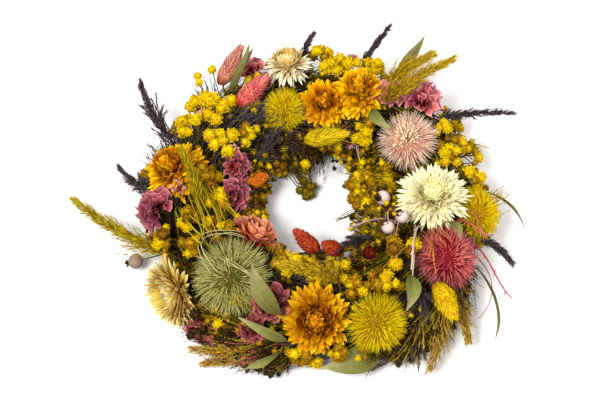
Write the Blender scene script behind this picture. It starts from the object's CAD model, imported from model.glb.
"""The looks of the dried-flower harvest wreath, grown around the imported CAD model.

Every flower, spike, leaf and grass of the CAD model is grown on the solid that holds its place: its seat on
the straw, its stem's direction, its width and its tip are read from the frame.  Loose heads, grass and
strands fill the gaps between them.  Lengths in this script are millimetres in the frame's axes, and a mesh
is scaled to metres when it is made.  A place on the wreath is a clock angle, a section angle round the straw,
and a reach from the straw's middle, with the angles in degrees.
"""
import math
import zlib

import bmesh
import bpy
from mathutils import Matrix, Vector
import numpy as np


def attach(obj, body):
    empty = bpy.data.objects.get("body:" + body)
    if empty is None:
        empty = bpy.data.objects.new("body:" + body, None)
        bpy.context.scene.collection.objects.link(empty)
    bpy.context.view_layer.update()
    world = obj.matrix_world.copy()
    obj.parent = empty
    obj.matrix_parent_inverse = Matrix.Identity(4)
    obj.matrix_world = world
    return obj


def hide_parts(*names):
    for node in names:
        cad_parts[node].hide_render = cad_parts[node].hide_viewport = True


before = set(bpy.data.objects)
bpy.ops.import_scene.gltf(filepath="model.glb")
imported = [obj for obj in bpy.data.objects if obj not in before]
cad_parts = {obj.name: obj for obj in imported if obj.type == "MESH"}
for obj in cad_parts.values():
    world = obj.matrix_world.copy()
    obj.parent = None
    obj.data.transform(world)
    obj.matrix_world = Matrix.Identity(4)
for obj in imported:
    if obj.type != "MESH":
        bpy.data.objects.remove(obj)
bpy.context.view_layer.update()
UNSEATED_NODES = ("straw_base_ring", "stem_bed", "binding_wires", "hanging_ring", "hanger_staples")
MM = 0.001
GOLDEN = math.pi * (3.0 - math.sqrt(5.0))

# ---------------------------------------------------------------------------------------- reading the frame


def node_points(node):
    """The points of a CAD node, with the points that its faces repeat merged, and its edges."""
    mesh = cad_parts[node].data
    points = np.empty(len(mesh.vertices) * 3)
    mesh.vertices.foreach_get("co", points)
    edges = np.empty(len(mesh.edges) * 2, int)
    mesh.edges.foreach_get("vertices", edges)
    merged, same = np.unique(np.round(points.reshape(-1, 3) / MM, 3), axis=0, return_inverse=True)
    return merged, same.reshape(-1)[edges].reshape(-1, 2)


def solids(node):
    """The points of each separate solid of a CAD node."""
    points, edges = node_points(node)
    label = np.arange(len(points))
    while True:
        low = np.minimum(label[edges[:, 0]], label[edges[:, 1]])
        new = label.copy()
        np.minimum.at(new, edges[:, 0], low)
        np.minimum.at(new, edges[:, 1], low)
        new = new[new]
        if np.array_equal(new, label):
            break
        label = new
    return [points[label == value] for value in np.unique(label)]


STRAW_POINTS, _ = node_points("straw_base_ring")
STRAW_REACH = np.hypot(STRAW_POINTS[:, 0], STRAW_POINTS[:, 1])
RING_RADIUS = (STRAW_REACH.max() + STRAW_REACH.min()) / 2
SECTION_RADIUS = (STRAW_REACH.max() - STRAW_REACH.min()) / 2
SECTION_HEIGHT = STRAW_POINTS[:, 2].max() - SECTION_RADIUS


def unit(v):
    return v / np.maximum(np.linalg.norm(v, axis=-1, keepdims=True), 1e-9)


def core_point(p):
    """The point nearest to p on the circle that runs through the middle of the straw."""
    flat = p * np.array([1, 1, 0])
    return unit(flat) * RING_RADIUS + np.array([0, 0, SECTION_HEIGHT])


def on_ring(clock, section, reach):
    """Points by clock and section in degrees, and by the distance from the middle of the straw."""
    clock, section = np.radians(clock), np.radians(section)
    flat = RING_RADIUS + reach * np.cos(section)
    height = SECTION_HEIGHT + reach * np.sin(section)
    return np.stack([flat * np.cos(clock), flat * np.sin(clock), height], -1)


ROOT_DEPTH = 0.4    # a solid's points this close to its innermost one are its root
STEM_WIDTH = 1.25   # points farther from the stem's line than this belong to the head
KNOT_STEP = 0.8     # from the first point that is wider than the stem to the middle of the knot on it


class Seat:
    """Where one solid stands: its seat on the straw, its stem's direction, its head and its tip.

    The stem leaves the straw at start along axis.  Its head lies between the heights rise and top over start,
    and is width across.  The way runs from the knot, at the head's foot, to the tip, and is length long; each
    point of the solid lies along it by so much, and off it by a vector.
    """

    def __init__(self, points):
        cores = core_point(points)
        depth = np.linalg.norm(points - cores, axis=1)
        root = points[depth < depth.min() + ROOT_DEPTH].mean(0)
        core = core_point(root[None])[0]
        self.points = points
        self.axis = unit(root - core)
        self.start = core + self.axis * SECTION_RADIUS
        outward = unit(core * [1, 1, 0])
        self.clock = math.degrees(math.atan2(core[1], core[0])) % 360
        self.section = math.degrees(math.atan2(self.axis[2], self.axis @ outward))
        height = (points - self.start) @ self.axis
        off = np.linalg.norm(points - self.start - height[:, None] * self.axis, axis=1)
        head = off > STEM_WIDTH
        self.rise = height[head].min() if head.any() else height.max()
        self.top = height.max()
        self.width = 2 * off.max()
        self.knot = self.start + self.axis * (self.rise + KNOT_STEP)
        self.tip = points[np.argmax(np.linalg.norm(points - self.start, axis=1))]
        self.way = unit(self.tip - self.knot)
        self.length = np.linalg.norm(self.tip - self.knot)
        self.along = (points - self.knot) @ self.way
        self.off = points - self.knot - self.along[:, None] * self.way

    def at(self, height):
        return self.start + self.axis * height

    def breadth(self, start):
        """Half the width across the way to the tip, past a share of the length."""
        return np.linalg.norm(self.off, axis=1)[self.along > start * self.length].max()


SEATS = {node: [Seat(points) for points in solids(node)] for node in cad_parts
         if node not in UNSEATED_NODES}

# ------------------------------------------------------------------------------------------- growing meshes


def across(axis):
    """Two unit vectors square to an axis and to each other, for one axis or for many."""
    helper = np.where(np.abs(axis[..., 2:3]) < 0.9, np.array([0, 0, 1.0]), np.array([1.0, 0, 0]))
    first = unit(np.cross(axis, helper))
    return first, np.cross(axis, first)


def around(axis, turn):
    """Unit vectors square to an axis, at angles round it."""
    first, second = across(axis)
    return np.cos(turn)[..., None] * first + np.sin(turn)[..., None] * second


def squared(v, way):
    """The part of v that is square to a way, as a unit vector."""
    return unit(v - (v * way).sum(-1, keepdims=True) * way)


def turned(side, lift, angle):
    """A pair of square vectors turned by an angle in their plane."""
    return np.cos(angle) * side + np.sin(angle) * lift, np.cos(angle) * lift - np.sin(angle) * side


def ball_template(detail):
    shape = bmesh.new()
    bmesh.ops.create_icosphere(shape, subdivisions=detail, radius=1.0)
    points = np.array([v.co[:] for v in shape.verts])
    faces = np.array([[v.index for v in f.verts] for f in shape.faces])
    shape.free()
    return points, faces


BALLS = {detail: ball_template(detail) for detail in (1, 2, 3)}


class Tuft:
    """The mesh of one piece as it grows: points, faces with their material, and a shade for each point.

    A shade is (along, tone, across): how far along its petal or stalk a point is, a number that is random for
    each petal, and how far it is from the petal's midrib.
    """

    def __init__(self, name):
        self.name = name
        self.random = np.random.default_rng(zlib.crc32(name.encode()))
        self.points, self.shades, self.faces, self.count = [], [], [], 0

    def add(self, points, faces, shades, finish=0):
        self.points.append(points.reshape(-1, 3))
        self.shades.append(shades.reshape(-1, 3))
        self.faces.append((faces + self.count, finish))
        self.count += len(points.reshape(-1, 3))

    def blades(self, base, forward, up, length, width, shape, curl=0.0, cup=0.0, rows=5, cols=3, finish=0,
               tone=None, twist=0.0):
        """Petals, bracts or leaves: each starts at base, runs forward, and curls towards up by an angle."""
        n = len(base)
        one = np.ones(n)
        v = np.linspace(0, 1, rows + 1)
        u = np.linspace(-1, 1, cols)
        angle = (curl * one)[:, None] * v
        heading = np.cos(angle)[..., None] * forward[:, None] + np.sin(angle)[..., None] * up[:, None]
        lift = -np.sin(angle)[..., None] * forward[:, None] + np.cos(angle)[..., None] * up[:, None]
        step = (length * one)[:, None, None] / rows * (heading[:, 1:] + heading[:, :-1]) / 2
        spine = base[:, None] + np.concatenate([np.zeros((n, 1, 3)), np.cumsum(step, 1)], 1)
        side = np.cross(forward, up)[:, None]
        side, lift = turned(side, lift, (twist * one)[:, None, None] * v[:, None])
        half = (width * one)[:, None] / 2 * shape(v)
        points = (spine[:, :, None] + (half[..., None] * u)[..., None] * side[:, :, None]
                  + (cup * half[..., None] * u ** 2)[..., None] * lift[:, :, None])
        self.add(points, grid_faces(n, rows + 1, cols), self.shade(n, v, np.abs(u), tone), finish)

    def tubes(self, lines, radius, sides=3, finish=0, tone=None):
        """Stalks, filaments and strands along lines of points, with a radius at each point."""
        n, k, _ = lines.shape
        heading = unit(np.gradient(lines, axis=1))
        first = squared(across(heading[:, 0])[0][:, None], heading)
        second = np.cross(heading, first)
        turn = np.linspace(0, 2 * math.pi, sides, endpoint=False)
        radius = np.broadcast_to(radius, (n, k))[..., None, None]
        points = (lines[:, :, None] + radius * (np.cos(turn)[:, None] * first[:, :, None]
                                                + np.sin(turn)[:, None] * second[:, :, None]))
        start = np.arange(n)[:, None] * k * sides + self.count
        ring = np.arange(sides)
        self.add(points, grid_faces(n, k, sides, closed=True),
                 self.shade(n, np.linspace(0, 1, k), np.zeros(sides), tone), finish)
        for cap in (start + ring[::-1], start + (k - 1) * sides + ring):
            self.faces.append((cap, finish))

    def curve(self, controls, steps, radius, sides, finish=0, tone=None):
        """One stalk along a smooth curve."""
        self.tubes(bezier(controls, steps)[None], radius, sides, finish, tone)

    def balls(self, centres, radii, detail=1, finish=0, tone=None, rough=0.0):
        """Round beads; rough pushes their points in and out by a share of the radius."""
        shape, faces = BALLS[detail]
        n = len(centres)
        push = 1 + rough * (self.random.random((n, len(shape))) - 0.5)
        points = centres[:, None] + radii[:, None, None] * shape * push[..., None]
        shades = np.zeros((n, len(shape), 3))
        shades[..., 0] = 0.5 + 0.5 * shape[:, 2]
        shades[..., 1] = self.tones(n, tone)[:, None]
        offsets = (np.arange(n) * len(shape))[:, None, None]
        self.add(points, (faces + offsets).reshape(-1, 3), shades, finish)

    def ball(self, centre, radius, detail, **look):
        self.balls(centre[None], np.array([radius]), detail, **look)

    def shade(self, n, v, u, tone):
        shades = np.empty((n, len(v), len(u), 3))
        shades[..., 0] = v[:, None]
        shades[..., 1] = self.tones(n, tone)[:, None, None]
        shades[..., 2] = u
        return shades

    def tones(self, n, tone):
        return self.random.random(n) if tone is None else tone * np.ones(n)

    def piece(self, finishes, node=None):
        """Makes the mesh object, gives it its materials, and says what it rides on and stands for."""
        points, shades = np.concatenate(self.points), np.concatenate(self.shades)
        mesh = bpy.data.meshes.new(self.name)
        mesh.vertices.add(len(points))
        mesh.vertices.foreach_set("co", (points * MM).ravel())
        loops = np.concatenate([faces.ravel() for faces, _ in self.faces])
        sizes = np.concatenate([np.full(len(faces), faces.shape[1]) for faces, _ in self.faces])
        finish = np.concatenate([np.full(len(faces), number) for faces, number in self.faces])
        mesh.loops.add(len(loops))
        mesh.loops.foreach_set("vertex_index", loops)
        mesh.polygons.add(len(sizes))
        mesh.polygons.foreach_set("loop_start", np.concatenate([[0], np.cumsum(sizes)[:-1]]))
        mesh.polygons.foreach_set("material_index", finish)
        mesh.polygons.foreach_set("use_smooth", np.ones(len(sizes), bool))
        mesh.update(calc_edges=True)
        mesh.validate()
        colours = mesh.attributes.new("shade", "FLOAT_COLOR", "POINT")
        colours.data.foreach_set("color", np.c_[shades, np.ones(len(shades))].ravel())
        for material in finishes:
            mesh.materials.append(material)
        piece = bpy.data.objects.new(self.name, mesh)
        bpy.context.scene.collection.objects.link(piece)
        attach(piece, "wreath")
        if node:
            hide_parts(node)


def grid_faces(n, rows, cols, closed=False):
    """Quads of n grids of points that follow each other; a closed grid's last column joins its first."""
    row = np.arange(rows - 1)[:, None] * cols
    col = np.arange(cols if closed else cols - 1)
    following = (col + 1) % cols
    quad = np.stack([row + col, row + following, row + cols + following, row + cols + col], -1).reshape(-1, 4)
    return (quad[None] + (np.arange(n) * rows * cols)[:, None, None]).reshape(-1, 4)


def bezier(points, steps):
    """A smooth curve from its control points."""
    t = np.linspace(0, 1, steps)[:, None]
    points = [np.asarray(p, float) for p in points]
    while len(points) > 1:
        points = [a * (1 - t) + b * t for a, b in zip(points, points[1:])]
    return points[0]


# shapes of a blade: half its width along its length


def pointed(v):
    return np.maximum(np.sin(math.pi * v ** 0.75) ** 0.8 * (1 - 0.15 * v) + 0.25 * (1 - v) ** 3, 0.03)


def lance(v):
    return np.maximum(np.sin(math.pi * np.clip(v, 0, 1) ** 0.6) ** 0.9, 0.04)


def rounded(v):
    widening = 0.35 + 0.65 * np.sin(math.pi / 2 * np.minimum(v / 0.6, 1))
    return np.maximum(widening * np.sqrt(1 - (v * 0.97) ** 6), 0.05)


def willow(v):
    return np.maximum(np.sin(math.pi * v ** 0.85) ** 1.1, 0.05)


def spoon(v):
    widening = 0.38 + 0.62 * np.sin(math.pi / 2 * np.minimum(v / 0.6, 1))
    return np.maximum(widening * (1 - v ** 5) ** 0.8, 0.04)


# ------------------------------------------------------------------------------------------------ materials


def colour(code):
    """A linear colour from a six-digit hexadecimal sRGB code."""
    values = [int(code[i:i + 2], 16) / 255 for i in (0, 2, 4)]
    return [v / 12.92 if v <= 0.04045 else ((v + 0.055) / 1.055) ** 2.4 for v in values] + [1.0]


class Nodes:
    """A short way to write a material's nodes and links."""

    def __init__(self, name):
        self.material = bpy.data.materials.new(name)
        self.material.use_nodes = True
        self.tree = self.material.node_tree
        self.shader = self.tree.nodes["Principled BSDF"]

    def new(self, kind, inputs=(), **settings):
        node = self.tree.nodes.new(kind)
        for key, value in settings.items():
            setattr(node, key, value)
        for key, value in dict(inputs).items():
            if isinstance(value, bpy.types.NodeSocket):
                self.tree.links.new(value, node.inputs[key])
            else:
                node.inputs[key].default_value = value
        return node

    def link(self, socket, key):
        self.tree.links.new(socket, self.shader.inputs[key])

    def ramp(self, socket, codes, places):
        """A colour ramp: its colours from one end to the other, evenly spaced where no places are given."""
        node = self.new("ShaderNodeValToRGB", {"Fac": socket})
        codes = codes.split()
        elements = node.color_ramp.elements
        while len(elements) < len(codes):
            elements.new(0.5)
        for element, code, place in zip(elements, codes, places or np.linspace(0, 1, len(codes))):
            element.position = place
            element.color = colour(code)
        return node.outputs["Color"]

    def noise(self, vector, scale, detail):
        kind = "ShaderNodeTexNoise"
        return self.new(kind, {"Vector": vector, "Scale": scale, "Detail": detail}).outputs["Fac"]

    def scaled(self, socket, factor, shift=0.0):
        node = self.new("ShaderNodeMath", {0: socket, 1: factor, 2: shift}, operation="MULTIPLY_ADD")
        return node.outputs[0]

    def sum(self, first, second):
        return self.new("ShaderNodeMath", {0: first, 1: second}, operation="ADD").outputs[0]

    def relief(self, height, strength, distance):
        node = self.new("ShaderNodeBump", {"Height": height, "Strength": strength, "Distance": distance})
        self.link(node.outputs["Normal"], "Normal")


FIBRE_SCALE, MOTTLE_SCALE = 2.2, 225.0
BRIGHTNESS, SATURATION = 0.86, 1.15
SHINE = 0.12
PETAL_RELIEF, WIRE_RELIEF = 0.0004, 0.0001      # in metres


def dried(name, codes, places=None, streak=0.25, spread=0.35, rough=0.7, bump=0.25, hue=0.015):
    """A dried petal, leaf or stalk: colours that run along it, another tone for each, fibres and mottling."""
    n = Nodes(name)
    shade = n.new("ShaderNodeAttribute", attribute_name="shade")
    along, tone, side = n.new("ShaderNodeSeparateColor", {"Color": shade.outputs["Color"]}).outputs
    base = n.ramp(along, codes, places)
    coordinates = n.new("ShaderNodeTexCoord").outputs["Object"]
    fibre_place = n.new("ShaderNodeCombineXYZ", {0: n.scaled(side, 7.0), 1: n.scaled(tone, 40.0),
                                                 2: n.scaled(along, 1.4)})
    fibres = n.noise(fibre_place.outputs[0], FIBRE_SCALE, 3.0)
    mottle = n.noise(coordinates, MOTTLE_SCALE, 4.0)
    light = n.sum(n.scaled(tone, spread, BRIGHTNESS - spread / 2), n.scaled(fibres, streak, -streak / 2))
    light = n.sum(light, n.scaled(mottle, 0.5, -0.25))
    tinted = n.new("ShaderNodeHueSaturation", {"Hue": n.scaled(tone, 2 * hue, 0.5 - hue), "Fac": 1.0,
                                               "Saturation": SATURATION, "Value": light, "Color": base})
    n.link(tinted.outputs["Color"], "Base Color")
    n.shader.inputs["Roughness"].default_value = rough
    n.shader.inputs["Specular IOR Level"].default_value = SHINE
    n.relief(n.sum(fibres, mottle), bump, PETAL_RELIEF)
    return n.material


def wire(name, code, rough):
    """Drawn steel wire: fine scratches along it and dull spots."""
    n = Nodes(name)
    coordinates = n.new("ShaderNodeTexCoord").outputs["Object"]
    spots = n.noise(coordinates, 260.0, 5.0)
    fine = n.noise(coordinates, 1900.0, 2.0)
    dull = n.new("ShaderNodeHueSaturation", {"Value": n.scaled(spots, 0.7, 0.65), "Color": colour(code)})
    n.link(dull.outputs["Color"], "Base Color")
    n.link(n.scaled(spots, 0.3, rough - 0.15), "Roughness")
    n.shader.inputs["Metallic"].default_value = 1.0
    n.relief(fine, 0.2, WIRE_RELIEF)
    return n.material


STALK = dried("stalk", "4A3B1C 6E6128")
DARK_CORE = dried("dark_core", "2A1E10 4A3A18", spread=0.5)
STRAW = dried("straw", "9A7838 BE9C50 A58442", streak=0.5, spread=0.55)
BARK = dried("bark", "24160A 4A3218", spread=0.5)
OLIVE = dried("olive_stem", "463E12 726822", spread=0.5)
STRAW_GREEN = dried("straw_green", "7E6A1E BEA850", spread=0.5)
DEAD_LEAF = dried("dead_leaf", "181006 30240E 4C3E1E", (0, 0.6, 1), spread=0.6)
YELLOW = dried("yellow_button", "8A6A02 D8B206 F8DA1A", (0, 0.4, 1), spread=0.34, rough=0.75, hue=0.012,
               bump=0.5)
OCHRE = dried("ochre_button", "4E3604 966C08 C29A12", spread=0.4, rough=0.75)
BROWN_BUTTON = dried("brown_button", "2E1C06 664410 96701C", spread=0.45, rough=0.75)
DARK_BUTTON = dried("dark_button", "241C06 5A4A0C 948016", spread=0.45, rough=0.75)
MAUVE = dried("mauve_paper", "2C0E0F 6E3238 9E5861 CA8A8E", (0, 0.5, 0.85, 1), spread=0.5)
DARK_MAUVE = dried("dark_mauve", "280C0A 602826 904C4C B47874", (0, 0.5, 0.85, 1), spread=0.5)
BRIGHT_MAUVE = dried("bright_mauve", "541E22 A64E58 CE7C86 E8AEAE", (0, 0.5, 0.85, 1), spread=0.5)
PINK_PAPER = dried("pink_paper", "7E3438 BE6E74 E2ACAC")
STRAW_GRASS = dried("straw_grass", "6A5408 A88E1C D2BE60", spread=0.45)
GOLD_GRASS = dried("gold_grass", "7C5808 BE961E E2CE74", spread=0.45)
OCHRE_GRASS = dried("ochre_grass", "6E4808 B0841A D8C48A", spread=0.45)
DARK_GRASS = dried("dark_grass", "1E1814 443A3A 74686A", (0, 0.6, 1), spread=0.5)
GREEN_LEAF = dried("green_leaf", "504C24 787846 98946A", spread=0.3, rough=0.5, streak=0.35)
PALE_LEAF = dried("pale_leaf", "8A8648 B4B078 CAC48C", spread=0.3)
PALE_BERRY = dried("pale_berry", "8E726E C4A8A4 DCC8C0", rough=0.45, spread=0.2)
GREY_BERRY = dried("grey_berry", "5E4C48 9A8478", rough=0.45, spread=0.2)
PALE_TWIG = dried("pale_twig", "A88878 D8C0B0", spread=0.3)
PINK_TENDRIL = dried("pink_tendril", "A04A4A D68684", spread=0.3)
ORANGE_STALK = dried("orange_stalk", "9A5A28 E2A070", spread=0.3)
GREEN_SCALE = dried("green_scale", "4E5426 8A8A4C", spread=0.4)
HANGER_WIRE = wire("hanger_wire", "8E8C88", 0.38)
BINDING_WIRE = wire("binding_wire", "6A5F50", 0.5)

# colours of the strawflowers, from the base of a petal to its tip, with their places along it
PETALS = {
    "cream_right": ("D0BE72 F2E8AC FFF8D4 FAF2C0", (0, 0.35, 0.8, 1)),
    "cream_top": ("C8AC64 EAD8A2 FEF6DC FEF6D8", (0, 0.35, 0.75, 1)),
    "gold_top_left": ("BE6206 E48C08 F4B40E F8CC1C", (0, 0.4, 0.8, 1)),
    "gold_top_right": ("C87406 EEA60A F8C612 FBD428", (0, 0.4, 0.8, 1)),
    "gold_left": ("A45804 E09008 F8BE10 FDD92A", (0, 0.4, 0.8, 1)),
    "gold_bottom": ("7A3804 B46A08 D8980A EAC014", (0, 0.4, 0.8, 1)),
    "tan_left": ("C09A44 D8B86A E8D294 EED8A0", (0, 0.4, 0.8, 1)),
    "coral_left": ("A84434 CE7058 E6A48A E29A84", (0, 0.5, 0.85, 1)),
}
INNER_PETALS = {
    "gold_top_left": ("7E3803 C87206 E89C0C",),
    "gold_top_right": ("9E5206 DE9008 F2B610",),
    "gold_left": ("703204 CA7806 EAA40E",),
    "gold_bottom": ("5E2804 AE6206 DA900A",),
    "cream_top": ("BC9448 E8CC88 FAECC2",),
}
MIDDLES = {
    "cream_right": "C0B872 E6E0AE",
    "cream_top": "C09440 ECD08C",
    "gold_top_left": "6E2E03 BC6606",
    "gold_top_right": "9A5404 E4A40E",
    "gold_left": "2E1204 7A3C08",
    "gold_bottom": "341604 8E4808",
    "tan_left": "7E7A4C B2AC80",
    "coral_left": "9A4430 D88A6A",
}
# colours of the pincushions: a filament's base, body and tip, then the stamens in the middle and the core
FILAMENTS = {
    "green_left": "4E4E16 94924E C8C086 9A904A 34380E",
    "yellow_bottom": "927004 D0AC08 ECCE1E A08008 5E4A04",
    "yellow_top": "A28206 E0BA08 F6D81E C09C0A 6E5804",
    "yellow_right": "A27C04 DCB408 F2D21C C09C0A 6A5004",
    "salmon_top": "D4A08A EEBCA2 FCE4D0 F6EEB0 BC8C74",
    "crimson_right": "7E2424 C2545A E89490 D06A5A 5A1A1A",
}
SPIKES = {
    "canary_spike_yellow_top": ("8E7008 CCAA20 E8D274", (0, 0.6, 1)),
    "canary_spike_yellow_right": ("8E6A06 CCA010 E6CA48", (0, 0.6, 1)),
    "canary_spike_pink_top": ("7E3E34 BC7868 E4B4A2", (0, 0.55, 1)),
    "canary_spike_coral_top": ("863436 C45E5C E8A49A", (0, 0.55, 1)),
    "canary_spikes_red_hole": ("541E16 8E3E32 BE6C58", (0, 0.55, 1)),
    "canary_spike_coral_hole": ("8E4022 BE683A DC9464", (0, 0.6, 1)),
    "canary_spike_red_bud": ("6E2418 A84638 CC7460", (0, 0.6, 1)),
}

# ------------------------------------------------------------------------------------------ kinds of flower


# a finish is the number of a material in the list that the piece is made with

STALK_RADIUS = 0.9


def stalk(tuft, a, b, finish):
    """A short stem from the straw to a head."""
    tuft.curve([a, (a + b) / 2, b], 5, STALK_RADIUS, sides=6, finish=finish, tone=0.4)


def whorls(tuft, centre, axis, count, radii, heights, opening, lengths, widths, curl, shape, cup=0.35,
           finish=0, jitter=0.16, rows=5):
    """Petals round an axis; each pair of numbers is for the outermost and for the innermost petal."""
    t = np.linspace(0, 1, count)
    noise = tuft.random.normal(0, 1, (count, 6))
    outward = around(axis, GOLDEN * np.arange(count) + 0.15 * noise[:, 0])

    def between(pair, spread=0.0, k=0):
        return (pair[0] + (pair[1] - pair[0]) * t) * (1 + spread * noise[:, k])

    tilt = np.radians(between(opening)) + jitter * noise[:, 1]
    forward, up = turned(outward, axis, tilt[:, None])
    forward = unit(forward + (0.10 * noise[:, 2])[:, None] * np.cross(forward, up))
    base = centre + between(radii)[:, None] * outward + between(heights)[:, None] * axis
    tuft.blades(base, forward, squared(up, forward), between(lengths, 0.08, 3), between(widths, 0.10, 4),
                shape, curl=np.radians(between(curl)) + 0.15 * noise[:, 5], cup=cup, finish=finish,
                twist=0.12 * noise[:, 0], rows=rows)


def dome_florets(tuft, centre, axis, radius, height, size, sunk):
    """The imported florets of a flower's middle: beads on a low dome, with a dip in its middle when sunk."""
    count = 170
    t = (np.arange(count) + 0.5) / count
    reach = radius * np.sqrt(t)
    lift = height * (1 - t) - sunk * height * np.exp(-(t / 0.15) ** 2)
    points = centre + reach[:, None] * around(axis, GOLDEN * np.arange(count)) + lift[:, None] * axis
    points += tuft.random.normal(0, size * 0.12, points.shape)
    tuft.balls(points, size * tuft.random.uniform(0.75, 1.15, count), finish=1)


def underside(tuft, centre, axis, radius, height):
    """Small overlapping scales under a head, from the stem out to the petals."""
    whorls(tuft, centre, axis, 46, (0.10 * radius, 0.55 * radius), (0.0, 0.55 * height), (35, 20),
           (0.42 * radius, 0.5 * radius), (0.24 * radius, 0.24 * radius), (15, 0), rounded, cup=-0.3,
           finish=3, rows=3)


def share_of(ranges, start, end):
    """What lies between two shares of each (outermost, innermost) range."""
    return [(a + (b - a) * start, a + (b - a) * end) for a, b in ranges]


def strawflower(tuft, seat, size, petals, opening, curl, middle, lengths, widths, heights=(0.25, 0.62),
                reach=0.16, sunk=0.0, shape=pointed, jitter=0.16, outer=0.6):
    """A strawflower: whorls of stiff papery bracts round a middle of packed florets.

    Its lengths, widths, reach and middle are shares of its size, its heights are shares of its depth, and
    outer is the share of its petals that have the outer colour.  Its materials are the outer petals, the
    middle, the stalk, the underside and the inner petals.
    """
    deep = max(seat.top - seat.rise, 0.30 * size)
    base = seat.at(seat.rise)
    stalk(tuft, seat.start, base + 2 * seat.axis, finish=2)
    ranges = [(reach * size, 0.85 * middle * size), (heights[0] * deep, heights[1] * deep), opening,
              (lengths[0] * size, lengths[1] * size), (widths[0] * size, widths[1] * size), curl]
    outside = int(petals * outer)
    for count, finish, start, end in ((outside, 0, 0.0, outer), (petals - outside, 4, outer, 1.0)):
        whorls(tuft, base, seat.axis, count, *share_of(ranges, start, end), shape, cup=0.4, jitter=jitter,
               finish=finish)
    dome_florets(tuft, base + heights[1] * deep * seat.axis, seat.axis, middle * size, 0.16 * deep,
                 0.022 * size, sunk)
    tuft.ball(base + 0.40 * deep * seat.axis, 0.14 * size, 2, finish=1, tone=0.1)
    underside(tuft, base, seat.axis, 0.32 * size, 0.5 * deep)


def pincushion(tuft, seat, count, swell, thick, low=-12.0, middle=60, sway=0.08, stamen=1.1, bead=0.0,
               stand=0.86, face=0.0, spread=0.20):
    """A ball head: fine filaments that fan out from a small core to a soft dome, with stamens in the middle.

    The lowest filaments leave at an angle, low; stand is the stamens' share of the depth, and face is how far
    they turn towards the viewer.  Its materials are the filaments, the stamens, the core and the scales.
    """
    w = seat.width * swell
    deep = (seat.top - seat.rise) * 1.12
    base = seat.at(seat.rise)
    heart = base + 0.20 * deep * seat.axis
    stalk(tuft, seat.start, base + 3 * seat.axis, finish=3)
    t = (np.arange(count) + 0.5) / count
    rise = np.radians(low + (90 - low) * (1 - np.sqrt(t)))
    heading, _ = turned(around(seat.axis, GOLDEN * np.arange(count)), seat.axis, rise[:, None])
    heading = unit(heading + tuft.random.normal(0, 0.055, heading.shape))
    reach = np.sqrt(1 / ((np.cos(rise) / (w / 2)) ** 2 + (np.sin(rise) / (0.80 * deep)) ** 2))
    reach *= tuft.random.uniform(0.82, 1.04, count)
    droop = (tuft.random.normal(0.0, 0.05, count) - 0.03) * reach
    swing = (tuft.random.normal(0.0, sway, count) * reach)[:, None] * unit(np.cross(heading, seat.axis))
    s = np.array([0.16, 0.45, 0.75, 1.0])
    lines = (heart + s[:, None] * (reach[:, None, None] * heading[:, None])
             + (droop[:, None] * s ** 2)[..., None] * seat.axis + (s ** 2)[:, None] * swing[:, None])
    tuft.tubes(lines, thick * np.array([1.0, 0.95, 0.8, 0.35]))
    tuft.ball(heart + 0.02 * deep * seat.axis, 0.27 * w, 3, finish=2, tone=0.3, rough=0.12)
    facing = unit(seat.axis + face * np.array([0.0, -0.5, 0.87]))
    tufts = unit(facing + tuft.random.normal(0, spread, (middle, 3)))
    grow = stand * deep * tuft.random.uniform(0.86, 1.06, middle)
    lines = heart + s[:, None] * (grow[:, None, None] * tufts[:, None])
    tuft.tubes(lines, thick * stamen * np.array([1.0, 1.0, 1.0, 0.7]), finish=1)
    if bead:
        tuft.balls(lines[:, -1], bead * tuft.random.uniform(0.7, 1.2, middle), finish=1)
    underside(tuft, base, seat.axis, 0.16 * w, 0.3 * deep)


def spike(tuft, seat):
    """A canary-grass head: an egg of overlapping keeled scales, all pointing to its tip."""
    scales, hairs = 230, 60
    foot = 0.06     # the share of the egg below the knot
    axis = seat.way
    length = seat.length * 1.04
    radius = seat.breadth(0.26) * 1.02
    tuft.curve([seat.start, seat.knot, seat.knot + 0.2 * length * axis], 7, 0.8, sides=6, finish=1, tone=0.5)
    v = foot + 0.86 * ((np.arange(scales) + 0.5) / scales)
    outward = around(axis, GOLDEN * np.arange(scales))
    egg = radius * np.sin(math.pi * v ** 0.85) ** 0.62
    base = seat.knot + (v * length - foot * length)[:, None] * axis + (0.80 * egg)[:, None] * outward
    slope = np.clip(1.0 - 1.9 * v, -0.5, 0.8)[:, None]
    forward = unit(axis + (0.34 + 0.5 * slope) * outward + tuft.random.normal(0, 0.06, outward.shape))
    size = 0.19 * length * tuft.random.uniform(0.85, 1.15, scales)
    tuft.blades(base, forward, squared(outward, forward), size, 0.42 * radius, pointed, curl=-0.35, cup=-0.9,
                rows=4)
    tuft.ball(seat.knot + 0.47 * length * axis, radius * 0.74, 2, tone=0.2)
    some = tuft.random.choice(scales, hairs, replace=False)
    s = np.linspace(0, 1, 3)[:, None]
    lines = base[some][:, None] + s * (0.24 * length) * unit(axis + 0.5 * outward[some])[:, None]
    tuft.tubes(lines, np.array([0.14, 0.12, 0.05]))


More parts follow.
